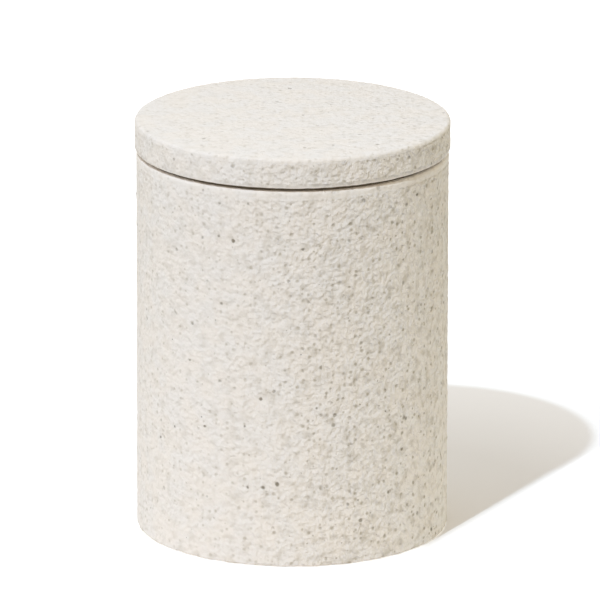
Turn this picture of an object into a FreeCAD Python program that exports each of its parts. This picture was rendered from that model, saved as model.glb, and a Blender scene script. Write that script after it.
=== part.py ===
"""Cotton swab container: a round cast-stone jar with a lift-off lid on a silicone gasket.

Millimetres, +Z up. The origin is on the surface that the container stands on, on its axis.
Each piece is written to parts/NODE.step, in its place in the closed container.
"""
import FreeCAD, Part
import math
import os

# Jar
JAR_DIAMETER = 75.5
JAR_HEIGHT = 93.5  # from its underside to its rim
WALL_THICKNESS = 6.25  # at the rim
BORE_DRAFT = 0.5  # degrees, so that the casting leaves its core
FLOOR_THICKNESS = 8.0
FLOOR_FILLET = 5.0  # inside, where the wall meets the floor
BASE_EDGE = 0.4  # outer edge at the underside
RIM_OUTER_EDGE = 0.8
RIM_INNER_EDGE = 1.0  # leads the gasket's lips into the bore

# Lid
LID_OVERHANG = 0.35  # past the jar's wall, all round
LID_THICKNESS = 7.25
LID_TOP_EDGE = 0.85
LID_UNDER_EDGE = 0.5
SPIGOT_DEPTH = 6.0  # the round step under the lid that carries the gasket
SPIGOT_EDGE = 0.8
SPIGOT_DRAFT = 2.0  # degrees, on the stretch below the gasket
DISH_BORDER = 5.4  # width of the spigot's ring round its hollow
DISH_DEPTH = 3.2
DISH_FILLET = 2.4

# Gasket, a ring stretched over the spigot
FLANGE_THICKNESS = 0.85  # holds the lid off the rim, which leaves the dark line round the closed container
FLANGE_INSET = 1.5  # from the jar's outer wall
COLLAR_THICKNESS = 1.0
COLLAR_STOP = 1.2  # how far the collar ends above the spigot's end
GASKET_EDGE = 0.2  # rounding of the ring's moulded edges
BEAD_HEIGHT = 1.6  # the bead holds the ring in the spigot's groove
BEAD_REACH = 0.8
LIP_COUNT = 2
LIP_REACH = 0.8
LIP_THICKNESS = 0.55
LIP_SWEEP = 0.5  # how far a lip's tip lies above its root

# Base pads, let into pockets in the jar's underside
PAD_COUNT = 4
PAD_DIAMETER = 9.0
PAD_INSET = 11.75  # from the jar's outer wall to a pad's centre
PAD_STAND = 0.1  # how far the pads stand out below the jar
PAD_EDGE = 0.3
POCKET_DEPTH = 1.3

# Clearances
GASKET_FIT = 0.1  # collar to spigot, and bead to groove
LIP_CLEARANCE = 0.2  # lip to bore
PAD_CLEARANCE = 0.3  # round a pad in its pocket

# Radii and heights that follow
JAR_RADIUS = JAR_DIAMETER / 2
MOUTH_RADIUS = JAR_RADIUS - WALL_THICKNESS
COLLAR_RADIUS = MOUTH_RADIUS - LIP_CLEARANCE - LIP_REACH
RING_BORE_RADIUS = COLLAR_RADIUS - COLLAR_THICKNESS
SPIGOT_RADIUS = RING_BORE_RADIUS - GASKET_FIT
FLOOR_LEVEL = PAD_STAND + FLOOR_THICKNESS
RIM_LEVEL = PAD_STAND + JAR_HEIGHT
LID_UNDERSIDE = RIM_LEVEL + FLANGE_THICKNESS
LID_TOP = LID_UNDERSIDE + LID_THICKNESS
SPIGOT_END = LID_UNDERSIDE - SPIGOT_DEPTH
COLLAR_END = SPIGOT_END + COLLAR_STOP
BEAD_MIDDLE = (LID_UNDERSIDE + COLLAR_END) / 2


def rounded_corner(before, corner, after, radius):
    """Arc that rounds a corner, with its radius limited to what the two sides have room for."""
    to_before = (before - corner).normalize()
    to_after = (after - corner).normalize()
    half_angle = to_before.getAngle(to_after) / 2
    room = 0.49 * min((before - corner).Length, (after - corner).Length)
    cut = min(radius / math.tan(half_angle), room)
    fitted = cut * math.tan(half_angle)
    to_centre = (to_before + to_after).normalize()
    middle = corner + to_centre * (fitted / math.sin(half_angle) - fitted)
    return Part.Arc(corner + to_before * cut, middle, corner + to_after * cut).toShape()


def turned(corners):
    """Solid turned about the Z axis from a closed outline of corners (radius, height, rounding)."""
    points = [FreeCAD.Vector(radius, 0, height) for radius, height, rounding in corners]
    arcs = {}
    for i, (radius, height, rounding) in enumerate(corners):
        if rounding > 0:
            arcs[i] = rounded_corner(points[i - 1], points[i], points[(i + 1) % len(points)], rounding)
    edges = []
    for i in range(len(points)):
        following = (i + 1) % len(points)
        start = arcs[i].lastVertex().Point if i in arcs else points[i]
        end = arcs[following].firstVertex().Point if following in arcs else points[following]
        if i in arcs:
            edges.append(arcs[i])
        edges.append(Part.makeLine(start, end))
    face = Part.Face(Part.Wire(edges))
    return face.revolve(FreeCAD.Vector(0, 0, 0), FreeCAD.Vector(0, 0, 1), 360)


def bore_radius(height):
    """Radius of the jar's drafted bore at a height."""
    return MOUTH_RADIUS - (RIM_LEVEL - height) * math.tan(math.radians(BORE_DRAFT))


def pad_centres():
    """Centre of each pad's footprint."""
    reach = JAR_RADIUS - PAD_INSET
    for i in range(PAD_COUNT):
        turn = 2 * math.pi * (i + 0.5) / PAD_COUNT
        yield FreeCAD.Vector(reach * math.cos(turn), reach * math.sin(turn), 0)


def make_jar():
    cup = turned([
        (0, PAD_STAND, 0),
        (JAR_RADIUS, PAD_STAND, BASE_EDGE),
        (JAR_RADIUS, RIM_LEVEL, RIM_OUTER_EDGE),
        (MOUTH_RADIUS, RIM_LEVEL, RIM_INNER_EDGE),
        (bore_radius(FLOOR_LEVEL), FLOOR_LEVEL, FLOOR_FILLET),
        (0, FLOOR_LEVEL, 0),
    ])
    pocket_radius = PAD_DIAMETER / 2 + PAD_CLEARANCE
    pockets = [
        Part.makeCylinder(pocket_radius, PAD_STAND + POCKET_DEPTH, centre) for centre in pad_centres()
    ]
    return cup.cut(pockets)


def make_pad(centre):
    radius = PAD_DIAMETER / 2
    pad = turned([
        (0, 0, 0),
        (radius, 0, PAD_EDGE),
        (radius, PAD_STAND + POCKET_DEPTH, 0),
        (0, PAD_STAND + POCKET_DEPTH, 0),
    ])
    pad.translate(centre)
    return pad


def make_lid():
    edge_radius = JAR_RADIUS + LID_OVERHANG
    groove_radius = SPIGOT_RADIUS - BEAD_REACH
    groove_half = BEAD_HEIGHT / 2 + GASKET_FIT
    end_radius = SPIGOT_RADIUS - COLLAR_STOP * math.tan(math.radians(SPIGOT_DRAFT))
    dish_radius = SPIGOT_RADIUS - DISH_BORDER
    return turned([
        (0, LID_TOP, 0),
        (edge_radius, LID_TOP, LID_TOP_EDGE),
        (edge_radius, LID_UNDERSIDE, LID_UNDER_EDGE),
        (SPIGOT_RADIUS, LID_UNDERSIDE, 0),
        (SPIGOT_RADIUS, BEAD_MIDDLE + groove_half, 0),
        (groove_radius, BEAD_MIDDLE + groove_half, 0),
        (groove_radius, BEAD_MIDDLE - groove_half, 0),
        (SPIGOT_RADIUS, BEAD_MIDDLE - groove_half, 0),
        (SPIGOT_RADIUS, COLLAR_END, 0),
        (end_radius, SPIGOT_END, SPIGOT_EDGE),
        (dish_radius, SPIGOT_END, 0),
        (dish_radius, SPIGOT_END + DISH_DEPTH, DISH_FILLET),
        (0, SPIGOT_END + DISH_DEPTH, 0),
    ])


def lip_corners(root):
    """One lip's corners, from its upper root round its tip to its lower root."""
    tip_radius = bore_radius(root) - LIP_CLEARANCE
    rounding = LIP_THICKNESS / 3
    return [
        (COLLAR_RADIUS, root + LIP_THICKNESS / 2, 0),
        (tip_radius, root + LIP_THICKNESS / 2 + LIP_SWEEP, rounding),
        (tip_radius, root - LIP_THICKNESS / 2 + LIP_SWEEP + rounding, rounding),
        (COLLAR_RADIUS, root - LIP_THICKNESS / 2, 0),
    ]


def make_gasket():
    flange_radius = JAR_RADIUS - FLANGE_INSET
    bead_radius = RING_BORE_RADIUS - BEAD_REACH
    bead_half = BEAD_HEIGHT / 2
    corners = [
        (RING_BORE_RADIUS, LID_UNDERSIDE, 0),
        (flange_radius, LID_UNDERSIDE, GASKET_EDGE),
        (flange_radius, RIM_LEVEL, GASKET_EDGE),
        (COLLAR_RADIUS, RIM_LEVEL, 0),
    ]
    lip_pitch = (RIM_LEVEL - COLLAR_END) / (LIP_COUNT + 1)
    for i in range(LIP_COUNT):
        corners += lip_corners(RIM_LEVEL - (i + 1) * lip_pitch)
    corners += [
        (COLLAR_RADIUS, COLLAR_END, GASKET_EDGE),
        (RING_BORE_RADIUS, COLLAR_END, 0),
        (RING_BORE_RADIUS, BEAD_MIDDLE - bead_half, 0),
        (bead_radius, BEAD_MIDDLE - bead_half, GASKET_EDGE),
        (bead_radius, BEAD_MIDDLE + bead_half, GASKET_EDGE),
        (RING_BORE_RADIUS, BEAD_MIDDLE + bead_half, 0),
    ]
    return turned(corners)


def write(node, shape):
    shape.exportStep("parts/" + node + ".step")
    print(node, round(shape.Volume / 1000, 3), "cm3, valid:", shape.isValid())


os.makedirs("parts", exist_ok=True)
write("jar", make_jar())
write("lid", make_lid())
write("lid_gasket", make_gasket())
for number, centre in enumerate(pad_centres(), start=1):
    write("base_pad_" + str(number), make_pad(centre))
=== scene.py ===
import bpy
import math
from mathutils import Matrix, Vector


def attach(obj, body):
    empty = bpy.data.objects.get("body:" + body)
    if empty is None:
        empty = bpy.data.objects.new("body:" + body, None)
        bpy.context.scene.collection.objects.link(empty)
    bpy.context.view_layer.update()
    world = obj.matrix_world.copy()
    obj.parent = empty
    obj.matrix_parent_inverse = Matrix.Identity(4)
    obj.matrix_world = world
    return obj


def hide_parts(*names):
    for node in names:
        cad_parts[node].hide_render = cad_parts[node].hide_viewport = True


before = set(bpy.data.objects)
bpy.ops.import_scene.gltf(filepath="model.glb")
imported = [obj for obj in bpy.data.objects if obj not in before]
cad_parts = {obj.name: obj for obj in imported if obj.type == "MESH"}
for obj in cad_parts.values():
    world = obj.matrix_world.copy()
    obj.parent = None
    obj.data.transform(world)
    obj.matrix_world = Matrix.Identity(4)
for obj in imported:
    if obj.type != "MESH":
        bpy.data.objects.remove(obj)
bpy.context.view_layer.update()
mm = 0.001
print("frame loaded:", len(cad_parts), "nodes")


class Wire:
    # an output socket that can be added, multiplied and so on like a number
    def __init__(self, tree, socket):
        self.tree = tree
        self.socket = socket

    def __add__(self, other):
        return self.tree.number("ADD", self, other)

    def __sub__(self, other):
        return self.tree.number("SUBTRACT", self, other)

    def __mul__(self, other):
        return self.tree.number("MULTIPLY", self, other)

    def __truediv__(self, other):
        return self.tree.number("DIVIDE", self, other)

    def __rsub__(self, other):
        return self.tree.number("SUBTRACT", other, self)

    def __rtruediv__(self, other):
        return self.tree.number("DIVIDE", other, self)

    def __neg__(self):
        return self.tree.number("MULTIPLY", self, -1.0)

    __radd__ = __add__
    __rmul__ = __mul__


class Tree:
    # adds nodes to a shader, world or geometry tree
    def __init__(self, nodeTree):
        self.nodeTree = nodeTree

    def add(self, nodeType, settings=None, inputs=None, output=0):
        # settings first, then the sockets by name or place, each given a value or a Wire
        node = self.nodeTree.nodes.new(nodeType)
        for name, value in (settings or {}).items():
            setattr(node, name, value)
        for name, value in (inputs or {}).items():
            if isinstance(value, Wire):
                self.nodeTree.links.new(value.socket, node.inputs[name])
            else:
                node.inputs[name].default_value = value
        return Wire(self, node.outputs[output]) if node.outputs else None

    def other(self, wire, output):
        # another output of the node that a wire comes from
        return Wire(self, wire.socket.node.outputs[output])

    def number(self, operation, *values):
        return self.add("ShaderNodeMath", {"operation": operation}, dict(enumerate(values)))

    def vector(self, operation, *values, output=0):
        return self.add("ShaderNodeVectorMath", {"operation": operation}, dict(enumerate(values)), output)

    def scaled(self, vector, factor):
        return self.add("ShaderNodeVectorMath", {"operation": "SCALE"}, {"Vector": vector, "Scale": factor})

    def ramp(self, value, low, high, toLow=0.0, toHigh=1.0, curve="SMOOTHSTEP"):
        # toLow where the value is low, toHigh where it is high, and a blend between them
        inputs = {"Value": value, "From Min": low, "From Max": high, "To Min": toLow, "To Max": toHigh}
        return self.add("ShaderNodeMapRange", {"interpolation_type": curve}, inputs)

    def mix(self, factor, first, second, blend="MIX"):
        # colours
        settings = {"data_type": "RGBA", "blend_type": blend}
        return self.add("ShaderNodeMix", settings, {0: factor, 6: first, 7: second}, 2)

    def noise(self, place, size, detail=2.0, roughness=0.5, output=0):
        # size is the width of the pattern's lumps
        inputs = {"Vector": place, "Scale": 1 / size, "Detail": detail, "Roughness": roughness}
        return self.add("ShaderNodeTexNoise", {}, inputs, output)

    def cells(self, place, size, output="Distance"):
        # size is the width of the pattern's cells
        return self.add("ShaderNodeTexVoronoi", {}, {"Vector": place, "Scale": 1 / size}, output)

    def warped(self, place, size, reach):
        # pushes a pattern's places about, so that its cells aren't regular
        push = self.vector("SUBTRACT", self.noise(place, size, output=1), (0.5, 0.5, 0.5))
        return self.vector("ADD", place, self.scaled(push, 2 * reach))


def linked(thing):
    bpy.context.scene.collection.objects.link(thing)
    return thing


def newMaterial(name):
    material = bpy.data.materials.new(name)
    material.use_nodes = True
    material.node_tree.nodes.clear()
    return material, Tree(material.node_tree)


def showSurface(tree, shader):
    tree.add("ShaderNodeOutputMaterial", {}, {"Surface": shader})


def showFinish(tree, colour, roughness, height, shine=0.5):
    # height is a relief in metres
    normal = tree.add("ShaderNodeBump", {}, {"Height": height, "Strength": 1.0, "Distance": 1.0})
    showSurface(tree, tree.add("ShaderNodeBsdfPrincipled", {}, {
        "Base Color": colour, "Roughness": roughness, "Normal": normal, "Specular IOR Level": shine,
    }))


# cast stone, the same mix for jar and lid
# a Blend is the stretch of a pattern's values over which one look turns into the other

stone = {
    "warm": (0.864, 0.796, 0.734, 1),        # the pale binder, where it dried yellowish
    "cool": (0.852, 0.798, 0.752, 1),        # and where it dried greyish
    "patchSize": 5.5 * mm,
    "patchBlend": (0.35, 0.65),
    "sand": (0.72, 0.66, 0.59, 1),           # darker grains in it
    "sandBlend": (0.4, 1.0),
    "sandShare": 0.04,
    "grainSize": 0.42 * mm,
    "grainHeight": 0.005 * mm,
    "lumpSize": 1.1 * mm,
    "lumpHeight": 0.8 * mm,
    "blotchSize": 2.0 * mm,
    "blotchBlend": (0.45, 0.8),
    "dirtAndShade": (0.50, 0.44, 0.355, 1),          # brown: in blotches partly the stone's own darker colour and partly painted shade, in pinholes painted shade
    "blotchShare": 0.4,                        # how far it covers a blotch
    "pinholeShade": 0.75,                    # how far it covers a pinhole, as painted shade in the hole
    "pinholeSpacing": 1.4 * mm,
    "pinholeRadius": 0.7 * mm,
    "pinholeDepth": 0.12 * mm,
    "pinholeFlat": 0.15,                     # how much of its radius is flat
    "pit": (0.24, 0.205, 0.15, 1),           # painted shade on the floor of a pit
    "pitSpacing": 3.4 * mm,
    "pitRadius": 0.7 * mm,
    "pitDepth": 0.2 * mm,
    "pitFlat": 0.35,
    "pitPatchSize": 6 * mm,                  # the painted shade in the pits of some patches is darker than in others
    "pitPatchBlend": (0.4, 0.6),
    "pitShadeRange": (0.35, 0.95),
    "wholeShare": 0.25,                      # the share of places for a pit or a pinhole that have none
    "bendSize": 1.5 * mm,                    # what pushes grains, pits and pinholes out of line
    "bendReach": 0.25 * mm,
    "lampSideStrength": 0.65,                        # how strong lumps, grains, pinholes and the painted shade are towards -X, the lamp's side
    "grazedSideStrength": 1.4,                       # and towards +X, where the lamp grazes; stronger there in place of its sharper shading
    "sideBlend": (-25 * mm, 30 * mm),        # between these two X
    "smoothRelief": 0.1,                     # what smooth faces keep of them
    "smoothPitShade": 0.3,                   # and of the painted shade in the pits
    "smoothRoughness": 0.7,
    "castRoughness": 0.86,
    "grainRoughness": 0.06,                  # how far it varies from grain to grain
    "shine": 0.25,
}


def holes(tree, place, kind):
    # 1 at the bottom of round holes scattered in the stone, 0 between them; their radius varies
    spacing = stone[kind + "Spacing"]
    near = tree.cells(place, spacing)
    chance = tree.add("ShaderNodeSeparateColor", {}, {"Color": tree.other(near, "Color")})
    radius = tree.ramp(chance, stone["wholeShare"], 1.0, 0.0, stone[kind + "Radius"]) + 0.001 * mm  # never 0
    return tree.ramp(near * spacing / radius, 1.0, stone[kind + "Flat"])


def stoneMaterial():
    material, tree = newMaterial("castStone")
    place = tree.add("ShaderNodeTexCoord", output="Object")
    bent = tree.warped(place, stone["bendSize"], stone["bendReach"])
    rough = tree.add("ShaderNodeAttribute", {"attribute_name": "castFace"}, {}, "Fac")

    # how strong lumps, grains, pinholes and the painted shade are, by face and by side
    side = tree.add("ShaderNodeSeparateXYZ", {}, {"Vector": place})
    # stronger towards +X, where the lamp grazes: more relief and more painted shade stand in for its sharper
    # shading there
    coarse = tree.ramp(side, *stone["sideBlend"], stone["lampSideStrength"], stone["grazedSideStrength"])
    reliefAndShadeStrength = tree.ramp(rough, 0.0, 1.0, stone["smoothRelief"], 1.0, "LINEAR")
    reliefAndShadeStrength = reliefAndShadeStrength * ((coarse - 1.0) * rough + 1.0)

    # relief, in metres: lumps, grains, pinholes and pits
    lumps = tree.noise(place, stone["lumpSize"], detail=1.0, roughness=0.4)
    grain = tree.noise(place, stone["grainSize"], detail=1.0)
    pinholes = holes(tree, bent, "pinhole")
    pits = holes(tree, bent, "pit")
    skin = lumps * stone["lumpHeight"] + grain * stone["grainHeight"] - pinholes * stone["pinholeDepth"]
    height = skin * reliefAndShadeStrength - pits * stone["pitDepth"]

    # colour: patches and sand; dirt and painted shade in blotches; painted shade in pinholes and pits
    patch = tree.ramp(tree.noise(place, stone["patchSize"], detail=1.0), *stone["patchBlend"])
    tint = tree.cells(bent, stone["grainSize"], "Color")
    grainShade = tree.add("ShaderNodeSeparateColor", {}, {"Color": tint})
    sand = tree.ramp(grainShade, *stone["sandBlend"], 0.0, stone["sandShare"])
    # blotches of darker brown, with no hollows in the relief: partly the stone's own colour, partly painted
    # shade
    blotches = tree.ramp(tree.noise(place, stone["blotchSize"], detail=1.0, roughness=0.4), *stone["blotchBlend"])
    # how dark the painted shade in the pits is, by patch and by face
    pitPatch = tree.noise(place, stone["pitPatchSize"])
    pitShade = tree.ramp(pitPatch, *stone["pitPatchBlend"], *stone["pitShadeRange"])
    pitShade = pitShade * tree.ramp(rough, 0.0, 1.0, stone["smoothPitShade"], 1.0)
    colour = tree.mix(patch, stone["warm"], stone["cool"])
    colour = tree.mix(sand, colour, stone["sand"])
    # painted shade: partly in the blotches, wholly in the pinholes and the pits
    colour = tree.mix(blotches * reliefAndShadeStrength * stone["blotchShare"], colour, stone["dirtAndShade"])
    colour = tree.mix(pinholes * reliefAndShadeStrength * stone["pinholeShade"], colour, stone["dirtAndShade"])
    colour = tree.mix(pits * pitShade, colour, stone["pit"])

    roughness = tree.ramp(rough, 0.0, 1.0, stone["smoothRoughness"], stone["castRoughness"])
    roughness = roughness + grainShade * stone["grainRoughness"]
    showFinish(tree, colour, roughness, height, stone["shine"])
    return material


# outlines to be turned; their castFace is 1 where the stone is as rough as it was cast, 0 where it is smooth

def arcPoints(before, corner, after, radius, steps):
    # points of the arc that rounds a corner
    toBefore = (before - corner).normalized()
    toAfter = (after - corner).normalized()
    half = toBefore.angle(toAfter) / 2
    centre = corner + (toBefore + toAfter).normalized() * (radius / math.sin(half))
    start = corner + toBefore * (radius / math.tan(half)) - centre
    end = corner + toAfter * (radius / math.tan(half)) - centre
    sweep = start.angle(end)
    for i in range(steps + 1):
        share = i / steps
        turned = start * math.sin((1 - share) * sweep) + end * math.sin(share * sweep)
        yield centre + turned / math.sin(sweep)


def outlineMesh(name, corners):
    # each corner: radius, height, rounding, steps round it, and for the side after it spacing and castFace
    points = [Vector((radius, 0, height)) for radius, height, *_ in corners]
    rows = []
    for i, (_, _, rounding, steps, spacing, cast) in enumerate(corners):
        stretch = [points[i]]
        if rounding:
            stretch = list(arcPoints(points[i - 1], points[i], points[i + 1], rounding, steps))
        if rows:
            last, lastSpacing, lastCast = rows[-1]
            gap = stretch[0] - last
            count = max(1, round(gap.length / lastSpacing))
            rows += [(last + gap * (k / count), lastSpacing, lastCast) for k in range(1, count)]
        rows += [(point, spacing, cast) for point in stretch]
    mesh = bpy.data.meshes.new(name)
    mesh.from_pydata([point for point, _, _ in rows], [], [])
    attribute = mesh.attributes.new("castFace", "FLOAT", "POINT")
    attribute.data.foreach_set("value", [cast for _, _, cast in rows])
    return mesh


# the turned skin of jar and lid

castSkin = {
    "around": 448,               # faces in one turn
    "reliefDepth": 0.24 * mm,
    "reliefSize": 1.4 * mm,
    "reliefEnds": (0.3, 0.7),    # the noise at which the relief is deepest, and at which there is none
    "swellScale": 0.45,          # of the relief's scale, for its wider lumps
    "swellShare": 0.4,
    "pitsPerArea": 2200.0,       # in a square metre
    "pitRadius": 0.75 * mm,
    "pitDepth": 0.3 * mm,
    "pitFlat": 0.2,              # how much of a pit's radius is flat
    "smallestPit": 0.4,          # of the largest one's size
    "pocketSides": 64,
    "sharpAngle": 50,            # degrees, from which an edge isn't smoothed
}


def sampled(tree, points, index, value, kind="FLOAT"):
    # what a value is at one point of another mesh or cloud
    inputs = {"Geometry": points, "Index": index, "Value": value}
    return tree.add("GeometryNodeSampleIndex", {"data_type": kind}, inputs)


def turnedShape(tree, wire, position, cast):
    # a grid with one row for each point of the outline, turned about Z and closed
    rows = tree.add("GeometryNodeAttributeDomainSize", {}, {"Geometry": wire["Outline"]}, "Point Count")
    across = wire["Around"] + 1
    grid = tree.add("GeometryNodeMeshGrid", {}, {"Vertices X": rows, "Vertices Y": across})
    index = tree.add("GeometryNodeInputIndex")
    row = tree.number("FLOOR", (index + 0.5) / across)
    angle = (index - row * across) * (-2 * math.pi) / wire["Around"]
    corner = sampled(tree, wire["Outline"], row, position, "FLOAT_VECTOR")
    cornerCast = sampled(tree, wire["Outline"], row, cast)
    radius = tree.add("ShaderNodeSeparateXYZ", {}, {"Vector": corner})
    turned = tree.add("ShaderNodeCombineXYZ", {}, {
        "X": radius * tree.number("COSINE", angle), "Y": radius * tree.number("SINE", angle),
        "Z": tree.other(radius, "Z"),
    })
    shape = tree.add("GeometryNodeStoreNamedAttribute", {"data_type": "FLOAT", "domain": "POINT"},
                     {"Geometry": grid, "Name": "castFace", "Value": cornerCast})
    shape = tree.add("GeometryNodeSetPosition", {}, {"Geometry": shape, "Position": turned})
    return tree.add("GeometryNodeMergeByDistance", {}, {"Geometry": shape, "Distance": 0.001 * mm})


def scatteredPits(tree, wire, shape, position, cast):
    # how deep a place lies in the pit that is nearest to it
    pits = tree.add("GeometryNodeDistributePointsOnFaces", {"distribute_method": "RANDOM"}, {
        "Mesh": shape, "Selection": cast, "Density": wire["Pits Per Area"], "Seed": wire["Seed"],
    })
    chance = tree.add("FunctionNodeRandomValue", {"data_type": "FLOAT"},
                      {2: castSkin["smallestPit"], 3: 1.0, "Seed": wire["Seed"]}, 1)
    nearest = tree.add("GeometryNodeSampleNearest", {}, {"Geometry": pits, "Sample Position": position})
    centre = sampled(tree, pits, nearest, position, "FLOAT_VECTOR")
    size = sampled(tree, pits, nearest, chance)
    away = tree.vector("DISTANCE", position, centre, output="Value")
    sunk = tree.ramp(away / (size * wire["Pit Radius"]), 1.0, castSkin["pitFlat"]) * cast
    return sunk * size * wire["Pit Depth"]


def lumpyRelief(tree, wire, position, cast):
    # how deep the relief is; it only goes inwards
    scale = 1 / wire["Relief Size"]
    wider = scale * castSkin["swellScale"]
    lumps = tree.add("ShaderNodeTexNoise", {}, {"Vector": position, "Scale": scale, "Detail": 0.0})
    swell = tree.add("ShaderNodeTexNoise", {}, {"Vector": position, "Scale": wider, "Detail": 0.0})
    both = lumps * (1 - castSkin["swellShare"]) + swell * castSkin["swellShare"]
    return tree.ramp(both, *castSkin["reliefEnds"], 1.0, 0.0, "LINEAR") * wire["Relief Depth"] * cast


def withPockets(tree, wire, shape):
    # round pockets in the underside, on a circle, with the first one midway between X and Y
    corners = tree.number("MAXIMUM", wire["Pockets"], 3)     # a circle of points has at least 3
    ring = tree.add("GeometryNodeCurvePrimitiveCircle", {"mode": "RADIUS"},
                    {"Resolution": corners, "Radius": wire["Pocket Circle"]})
    ring = tree.add("GeometryNodeTransform", {}, {"Geometry": ring, "Rotation": (0, 0, math.pi / 4)})
    drill = tree.add("GeometryNodeMeshCylinder", {}, {
        "Vertices": castSkin["pocketSides"], "Radius": wire["Pocket Radius"],
        "Depth": wire["Pocket Ceiling"] * 2,
    })
    drills = tree.add("GeometryNodeInstanceOnPoints", {}, {"Points": ring, "Instance": drill})
    drills = tree.add("GeometryNodeRealizeInstances", {}, {"Geometry": drills})
    cut = tree.add("GeometryNodeMeshBoolean", {"operation": "DIFFERENCE", "solver": "MANIFOLD"},
                   {"Mesh 1": shape, "Mesh 2": drills})
    hasPockets = tree.add("FunctionNodeCompare", {"data_type": "INT", "operation": "GREATER_THAN"},
                          {2: wire["Pockets"], 3: 0})
    return tree.add("GeometryNodeSwitch", {"input_type": "GEOMETRY"},
                    {"Switch": hasPockets, "False": shape, "True": cut})


def smoothed(tree, shape):
    # smooth, but for the edges that meet at a corner
    shape = tree.add("GeometryNodeSetShadeSmooth", {"domain": "FACE"},
                     {"Geometry": shape, "Shade Smooth": True})
    bend = tree.add("GeometryNodeInputMeshEdgeAngle")
    sharp = tree.add("FunctionNodeCompare", {"data_type": "FLOAT", "operation": "GREATER_THAN"},
                     {0: bend, 1: math.radians(castSkin["sharpAngle"])})
    return tree.add("GeometryNodeSetShadeSmooth", {"domain": "EDGE"},
                    {"Geometry": shape, "Selection": sharp, "Shade Smooth": False})


def turnedStoneTree():
    # turns an outline about Z, roughens and pits what it makes, and cuts round pockets in its underside
    group = bpy.data.node_groups.new("turnedStone", "GeometryNodeTree")
    tree = Tree(group)
    sockets = (
        ("Outline", "NodeSocketGeometry", None),
        ("Around", "NodeSocketInt", castSkin["around"]),
        ("Relief Depth", "NodeSocketFloat", castSkin["reliefDepth"]),
        ("Relief Size", "NodeSocketFloat", castSkin["reliefSize"]),
        ("Pits Per Area", "NodeSocketFloat", castSkin["pitsPerArea"]),
        ("Pit Radius", "NodeSocketFloat", castSkin["pitRadius"]),
        ("Pit Depth", "NodeSocketFloat", castSkin["pitDepth"]),
        ("Seed", "NodeSocketInt", 1),
        ("Stone", "NodeSocketMaterial", None),
        ("Pockets", "NodeSocketInt", 0),
        ("Pocket Circle", "NodeSocketFloat", None),
        ("Pocket Radius", "NodeSocketFloat", None),
        ("Pocket Ceiling", "NodeSocketFloat", None),
    )
    for name, kind, value in sockets:
        socket = group.interface.new_socket(name=name, in_out="INPUT", socket_type=kind)
        if value is not None:
            socket.default_value = value
    group.interface.new_socket(name="Geometry", in_out="OUTPUT", socket_type="NodeSocketGeometry")
    given = group.nodes.new("NodeGroupInput")
    wire = {socket.name: Wire(tree, socket) for socket in given.outputs if socket.name}

    position = tree.add("GeometryNodeInputPosition")
    cast = tree.add("GeometryNodeInputNamedAttribute", {"data_type": "FLOAT"}, {"Name": "castFace"})
    shape = turnedShape(tree, wire, position, cast)
    depth = lumpyRelief(tree, wire, position, cast) + scatteredPits(tree, wire, shape, position, cast)
    inwards = tree.scaled(tree.add("GeometryNodeInputNormal"), -depth)
    shape = tree.add("GeometryNodeSetPosition", {}, {"Geometry": shape, "Offset": inwards})
    shape = smoothed(tree, withPockets(tree, wire, shape))
    shape = tree.add("GeometryNodeRealizeInstances", {}, {"Geometry": shape})
    shape = tree.add("GeometryNodeSetMaterial", {}, {"Geometry": shape, "Material": wire["Stone"]})
    tree.add("NodeGroupOutput", {}, {"Geometry": shape})
    return group


def builtPiece(name, mesh, group, values):
    # runs a tree on a mesh, and keeps what it makes as a plain mesh
    source = linked(bpy.data.objects.new(name + "Source", mesh))
    modifier = source.modifiers.new("build", "NODES")
    modifier.node_group = group
    items = group.interface.items_tree
    identifiers = {item.name: item.identifier for item in items if item.in_out == "INPUT"}
    for label, value in values.items():
        modifier[identifiers[label]] = value
    result = bpy.data.meshes.new_from_object(source.evaluated_get(bpy.context.evaluated_depsgraph_get()))
    bpy.data.objects.remove(source)
    result.name = name
    return linked(bpy.data.objects.new(name, result))


castStone = stoneMaterial()
turnedStone = turnedStoneTree()
print("cast stone mixed")

# jar

jarSizes = {
    "radius": 37.75 * mm,
    "underside": 0.1 * mm,       # above the shelf, on its pads
    "rim": 93.6 * mm,
    "wall": 6.25 * mm,
    "draft": 0.5,                # degrees
    "floor": 8.0 * mm,
    "baseEdge": 0.4 * mm,
    "rimOuterEdge": 0.8 * mm,
    "rimInnerEdge": 1.0 * mm,
    "floorFillet": 5.0 * mm,
    "pockets": 4,                # for the base pads
    "pocketCircle": 26 * mm,
    "pocketRadius": 4.8 * mm,
    "pocketCeiling": 1.4 * mm,
    "spacing": 0.55 * mm,        # of the mesh on the outer wall
    "rimSpacing": 0.6 * mm,
    "insideSpacing": 6 * mm,
    "edgeSteps": 5,
    "filletSteps": 10,
    "insideCast": 0.25,          # castFace inside, where the outer wall's is 1
    "rimCast": 0.35,
    "rimBorder": 1.6 * mm,       # where the wall gets smoother below the rim
    "seed": 3,
}


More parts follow.
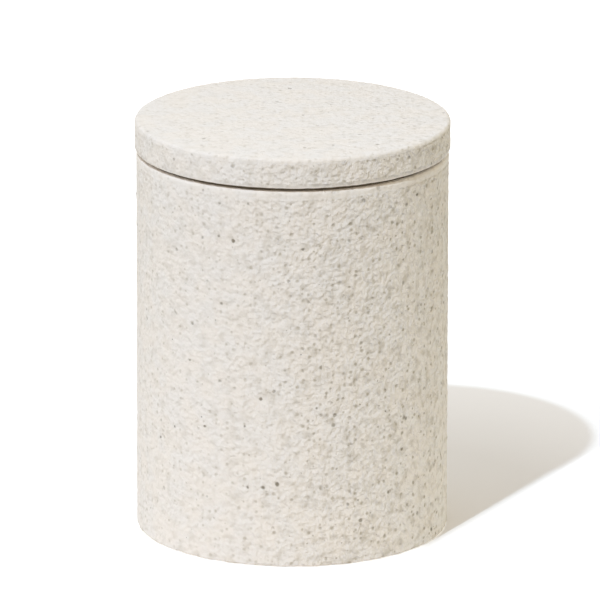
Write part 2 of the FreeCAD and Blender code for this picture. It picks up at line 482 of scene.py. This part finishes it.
def makeJar():
    size = jarSizes
    floorLevel = size["underside"] + size["floor"]
    mouth = size["radius"] - size["wall"]
    floorRadius = mouth - (size["rim"] - floorLevel) * math.tan(math.radians(size["draft"]))
    steps, fine, coarse = size["edgeSteps"], size["spacing"], size["insideSpacing"]
    inside, rim = size["insideCast"], size["rimCast"]
    outline = outlineMesh("jarOutline", [
        (0, size["underside"], 0, 0, size["radius"], 0),     # no rows on the underside
        (size["radius"], size["underside"], size["baseEdge"], steps, fine, 1),
        (size["radius"], size["rim"] - size["rimBorder"], 0, 0, fine, rim),
        (size["radius"], size["rim"], size["rimOuterEdge"], steps, size["rimSpacing"], rim),
        (mouth, size["rim"], size["rimInnerEdge"], steps, coarse, inside),
        (floorRadius, floorLevel, size["floorFillet"], size["filletSteps"], coarse, inside),
        (0, floorLevel, 0, 0, coarse, inside),
    ])
    return builtPiece("jarStone", outline, turnedStone, {
        "Stone": castStone, "Seed": size["seed"], "Pockets": size["pockets"],
        "Pocket Circle": size["pocketCircle"], "Pocket Radius": size["pocketRadius"],
        "Pocket Ceiling": size["pocketCeiling"],
    })


jar = makeJar()
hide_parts("jar")
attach(jar, "jar")
print("jar turned:", len(jar.data.polygons), "faces")

# lid

lidSizes = {
    "radius": 38.1 * mm,
    "top": 101.7 * mm,
    "thickness": 7.25 * mm,
    "spigotDepth": 6.0 * mm,
    "spigotRadius": 29.4 * mm,
    "topEdge": 0.85 * mm,
    "underEdge": 0.5 * mm,
    "spigotEdge": 0.8 * mm,
    "dishRadius": 24.0 * mm,
    "dishDepth": 3.2 * mm,
    "dishFillet": 2.4 * mm,
    "spacing": 0.53 * mm,        # of the mesh on the top and the side
    "undersideSpacing": 3 * mm,
    "spigotSpacing": 5 * mm,
    "edgeSteps": 5,
    "underEdgeSteps": 4,
    "dishSteps": 8,
    "topCast": 0.42,             # castFace on the top, where the side's is 1
    "dishCast": 0.25,
    "edgeCast": 0.35,
    "edgeBorder": 1.2 * mm,      # where the side gets smoother above its lower edge
    "pitsPerArea": 900.0,
    "seed": 8,
}


def makeLid():
    size = lidSizes
    under = size["top"] - size["thickness"]
    end = under - size["spigotDepth"]
    ceiling = end + size["dishDepth"]
    steps, fine, coarse = size["edgeSteps"], size["spacing"], size["spigotSpacing"]
    top, dish = size["topCast"], size["dishCast"]
    outline = outlineMesh("lidOutline", [
        (0, ceiling, 0, 0, coarse, dish),
        (size["dishRadius"], ceiling, size["dishFillet"], size["dishSteps"], coarse, dish),
        (size["dishRadius"], end, 0, 0, coarse, dish),
        (size["spigotRadius"], end, size["spigotEdge"], steps, coarse, 0),
        (size["spigotRadius"], under, 0, 0, size["undersideSpacing"], 0),
        (size["radius"], under, size["underEdge"], size["underEdgeSteps"], fine, size["edgeCast"]),
        (size["radius"], under + size["edgeBorder"], 0, 0, fine, 1),
        (size["radius"], size["top"], size["topEdge"], steps, fine, top),
        (0, size["top"], 0, 0, fine, top),
    ])
    return builtPiece("lidStone", outline, turnedStone, {
        "Stone": castStone, "Seed": size["seed"], "Pits Per Area": size["pitsPerArea"],
    })


lid = makeLid()
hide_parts("lid")
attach(lid, "lid")
print("lid turned:", len(lid.data.polygons), "faces")

# the gasket and the base pads keep their own solids

silicone = {
    # dark brown: partly the silicone's own colour, partly painted shade, as dark and warm as the shade in the
    # gap under the lid
    "colour": (0.12, 0.09, 0.055, 1),
    "haze": (0.15, 0.118, 0.078, 1),
    "hazeSize": 4 * mm,
    "hazeBlend": (0.3, 0.7),
    "roughness": (0.38, 0.52),       # where there is no haze, and in it
    "grainSize": 0.2 * mm,
    "grainHeight": 0.006 * mm,
}


def siliconeMaterial():
    material, tree = newMaterial("silicone")
    place = tree.add("ShaderNodeTexCoord", output="Object")
    haze = tree.noise(place, silicone["hazeSize"], detail=3.0)
    colour = tree.mix(haze, silicone["colour"], silicone["haze"])
    roughness = tree.ramp(haze, *silicone["hazeBlend"], *silicone["roughness"])
    showFinish(tree, colour, roughness, tree.noise(place, silicone["grainSize"]) * silicone["grainHeight"])
    return material


foam = {
    "colour": (0.10, 0.095, 0.09, 1),
    # painted shade at the bottom of the pores
    "poreShade": (0.045, 0.042, 0.04, 1),
    "poreSize": 0.3 * mm,
    "poreBlend": (0.55, 0.15),       # from a pore's edge to its flat bottom
    "poreDepth": 0.05 * mm,
    "roughness": 0.85,
    "poreRoughness": 0.1,            # more than that
}


def foamMaterial():
    material, tree = newMaterial("padFoam")
    place = tree.add("ShaderNodeTexCoord", output="Object")
    # the pores darken towards their bottoms: painted shade
    pores = tree.ramp(tree.cells(place, foam["poreSize"]), *foam["poreBlend"])
    colour = tree.mix(pores, foam["colour"], foam["poreShade"])
    roughness = foam["roughness"] + pores * foam["poreRoughness"]
    showFinish(tree, colour, roughness, pores * -foam["poreDepth"])
    return material


def dress(node, material):
    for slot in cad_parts[node].material_slots:
        slot.material = material


dress("lid_gasket", siliconeMaterial())
padFoam = foamMaterial()
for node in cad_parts:
    if node.startswith("base_pad_"):
        dress(node, padFoam)
print("gasket and pads dressed")

# floor, light and camera; their distances are in metres

studio = {
    "lampAcross": 24.0,          # degrees, to the left of the camera
    "lampUp": 54.2,              # degrees
    "lampAway": 0.916,
    "lampAim": 50 * mm,          # the height on the jar's axis that the lamp is placed from
    "lampSize": 0.01,
    "lampPower": 17.0,           # watts
    "lampColour": (0.71, 0.84, 1.0),
    "glows": (                   # soft light from all round: its direction and colour
        ((0, 0, 1), (0.235, 0.235, 0.31)),
        ((-1, 0, 0), (1.02, 1.03, 0.94)),
        ((1, 0, 0), (0.95, 0.935, 0.70)),
        ((0, -1, 0), (0.24, 0.13, 0.0)),
        ((0, 1, 0), (0.36, 0.365, 0.32)),
    ),
    "backdropSeen": (1, 1, 1, 1),            # for the camera
    "floorReach": 6.0,
    "sheetTone": (0.93, 0.93, 0.93, 1),      # the white sheet that the jar stands on
    "tableTone": (0.18, 0.18, 0.18, 1),      # what lies beyond it
    "sheetEnd": (0.14, 0.46),                # from the jar's axis, where it fades into the table
    "floorSeen": (0.97, 0.97, 0.97, 1),      # the sheet and the table, for the camera
    "paintedContactLight": (0.48, 0.45, 0.41, 1),    # painted light under the jar's edge, hiding the contact shadow in the thin gap under it
    "contactEnd": (37.8 * mm, 37.5 * mm),    # from the jar's axis, where it starts and where it is whole
    # painted light, for the camera only: these lifts pale the shadow away from the jar and whiten the sheet
    # beside it
    "nearLift": (0.015, 0.0, 0.0, 1),
    "farLift": (0.33, 0.33, 0.35, 1),
    "liftFade": (0.07, 0.2),                 # from the jar's axis, where the near lift turns into the far one
    "whiteLift": (0.2, 0.2, 0.2, 1),         # on both sides of the shadow and before the jar
    "whiteFade": 1.06,                       # of the shadow's half width, where this lift is whole
    "whiteFront": (3 * mm, 10 * mm),         # before the jar's axis, where it starts and where it is whole
}


def lampPlace():
    across, up = math.radians(studio["lampAcross"]), math.radians(studio["lampUp"])
    towards = Vector((-math.sin(across) * math.cos(up), -math.cos(across) * math.cos(up), math.sin(up)))
    return Vector((0, 0, studio["lampAim"])) + towards * studio["lampAway"]


def besideShadow(tree, place):
    # 0 between the two lines that the shadow keeps to, 1 on both sides of them and before the jar
    lamp = lampPlace()
    foot = Vector((lamp.x, lamp.y, 0))
    forward = -foot.normalized()
    fromFoot = tree.vector("SUBTRACT", place, foot)
    ahead = tree.vector("DOT_PRODUCT", fromFoot, forward, output="Value")
    aside = tree.vector("DOT_PRODUCT", fromFoot, (-forward.y, forward.x, 0), output="Value")
    edge = lidSizes["radius"] / foot.length
    beside = tree.ramp(tree.number("ABSOLUTE", aside / ahead), edge, edge * studio["whiteFade"])
    before = tree.ramp(ahead, *(foot.length - reach for reach in studio["whiteFront"]))
    return tree.number("MAXIMUM", beside, before)


def makeFloor():
    reach = studio["floorReach"]
    mesh = bpy.data.meshes.new("floor")
    corners = [(-reach, -reach, 0), (reach, -reach, 0), (reach, reach, 0), (-reach, reach, 0)]
    mesh.from_pydata(corners, [], [(0, 1, 2, 3)])
    floor = linked(bpy.data.objects.new("floor", mesh))
    material, tree = newMaterial("whiteFloor")
    camera = tree.add("ShaderNodeLightPath", output="Is Camera Ray")
    seen = camera + tree.other(camera, "Is Glossy Ray") + tree.other(camera, "Is Transmission Ray")
    place = tree.add("ShaderNodeTexCoord", output="Object")
    away = tree.vector("LENGTH", place, output="Value")
    tone = tree.mix(tree.ramp(away, *studio["sheetEnd"]), studio["sheetTone"], studio["tableTone"])
    plain = tree.add("ShaderNodeBsdfDiffuse", {}, {"Color": tone})
    white = tree.add("ShaderNodeBsdfDiffuse", {}, {"Color": studio["floorSeen"]})
    # painted light for the camera: the lifts pale the shadow, hide the contact shadow and whiten the sheet
    # beside the shadow
    far = tree.ramp(away, *studio["liftFade"], curve="LINEAR")
    lift = tree.mix(far, studio["nearLift"], studio["farLift"])
    lift = tree.mix(tree.ramp(away, *studio["contactEnd"]), lift, studio["paintedContactLight"])
    lift = tree.mix(besideShadow(tree, place), lift, studio["whiteLift"], "ADD")
    lift = tree.add("ShaderNodeEmission", {}, {"Color": lift})
    white = tree.add("ShaderNodeAddShader", {}, {0: white, 1: lift})
    showSurface(tree, tree.add("ShaderNodeMixShader", {}, {0: seen, 1: plain, 2: white}))
    mesh.materials.append(material)


def makeLamp():
    lamp = linked(bpy.data.objects.new("lamp", bpy.data.lights.new("lamp", "POINT")))
    lamp.data.energy = studio["lampPower"]
    lamp.data.color = studio["lampColour"]
    lamp.data.shadow_soft_size = studio["lampSize"]
    lamp.location = lampPlace()


def makeGlow():
    world = bpy.data.worlds.new("softLight")
    world.use_nodes = True
    world.node_tree.nodes.clear()
    tree = Tree(world.node_tree)
    black = (0, 0, 0, 1)
    direction = tree.add("ShaderNodeTexCoord", output="Generated")
    light = None
    for axis, colour in studio["glows"]:
        share = tree.number("MAXIMUM", tree.vector("DOT_PRODUCT", direction, axis, output="Value"), 0.0)
        glow = tree.mix(share, black, colour + (1,))
        light = tree.mix(1.0, light, glow, "ADD") if light else glow
    seen = tree.add("ShaderNodeLightPath", output="Is Camera Ray")
    light = tree.mix(seen, light, studio["backdropSeen"])
    background = tree.add("ShaderNodeBackground", {}, {"Color": light, "Strength": 1.0})
    tree.add("ShaderNodeOutputWorld", {}, {"Surface": background})
    bpy.context.scene.world = world


view = {
    "elevation": 16.439,         # degrees
    "distance": 2.481,
    "lens": 614.4,               # millimetres, as the sensor's width
    "sensor": 36.0,
    "roll": 0.12,                # degrees
    "aimHeight": 50 * mm,
    "aimRight": 1.8665 * mm,     # the picture's middle lies right of the jar's axis
    "aimUp": 5.673 * mm,
    "farthest": 20.0,
}


def makeCamera():
    up = math.radians(view["elevation"])
    back = Vector((0, -math.cos(up), math.sin(up)))
    centre = Vector((0, 0, view["aimHeight"]))
    camera = linked(bpy.data.objects.new("camera", bpy.data.cameras.new("camera")))
    camera.data.lens = view["lens"]
    camera.data.sensor_width = view["sensor"]
    camera.data.clip_end = view["farthest"]
    camera.location = centre + back * view["distance"]
    aim = centre + Vector((view["aimRight"], 0, 0)) + Vector((0, math.sin(up), math.cos(up))) * view["aimUp"]
    turn = (camera.location - aim).to_track_quat("Z", "Y").to_euler()
    turn.rotate_axis("Z", math.radians(view["roll"]))
    camera.rotation_euler = turn
    bpy.context.scene.camera = camera


makeFloor()
makeLamp()
makeGlow()
makeCamera()
bpy.context.scene.view_settings.view_transform = "Standard"
print("studio set")
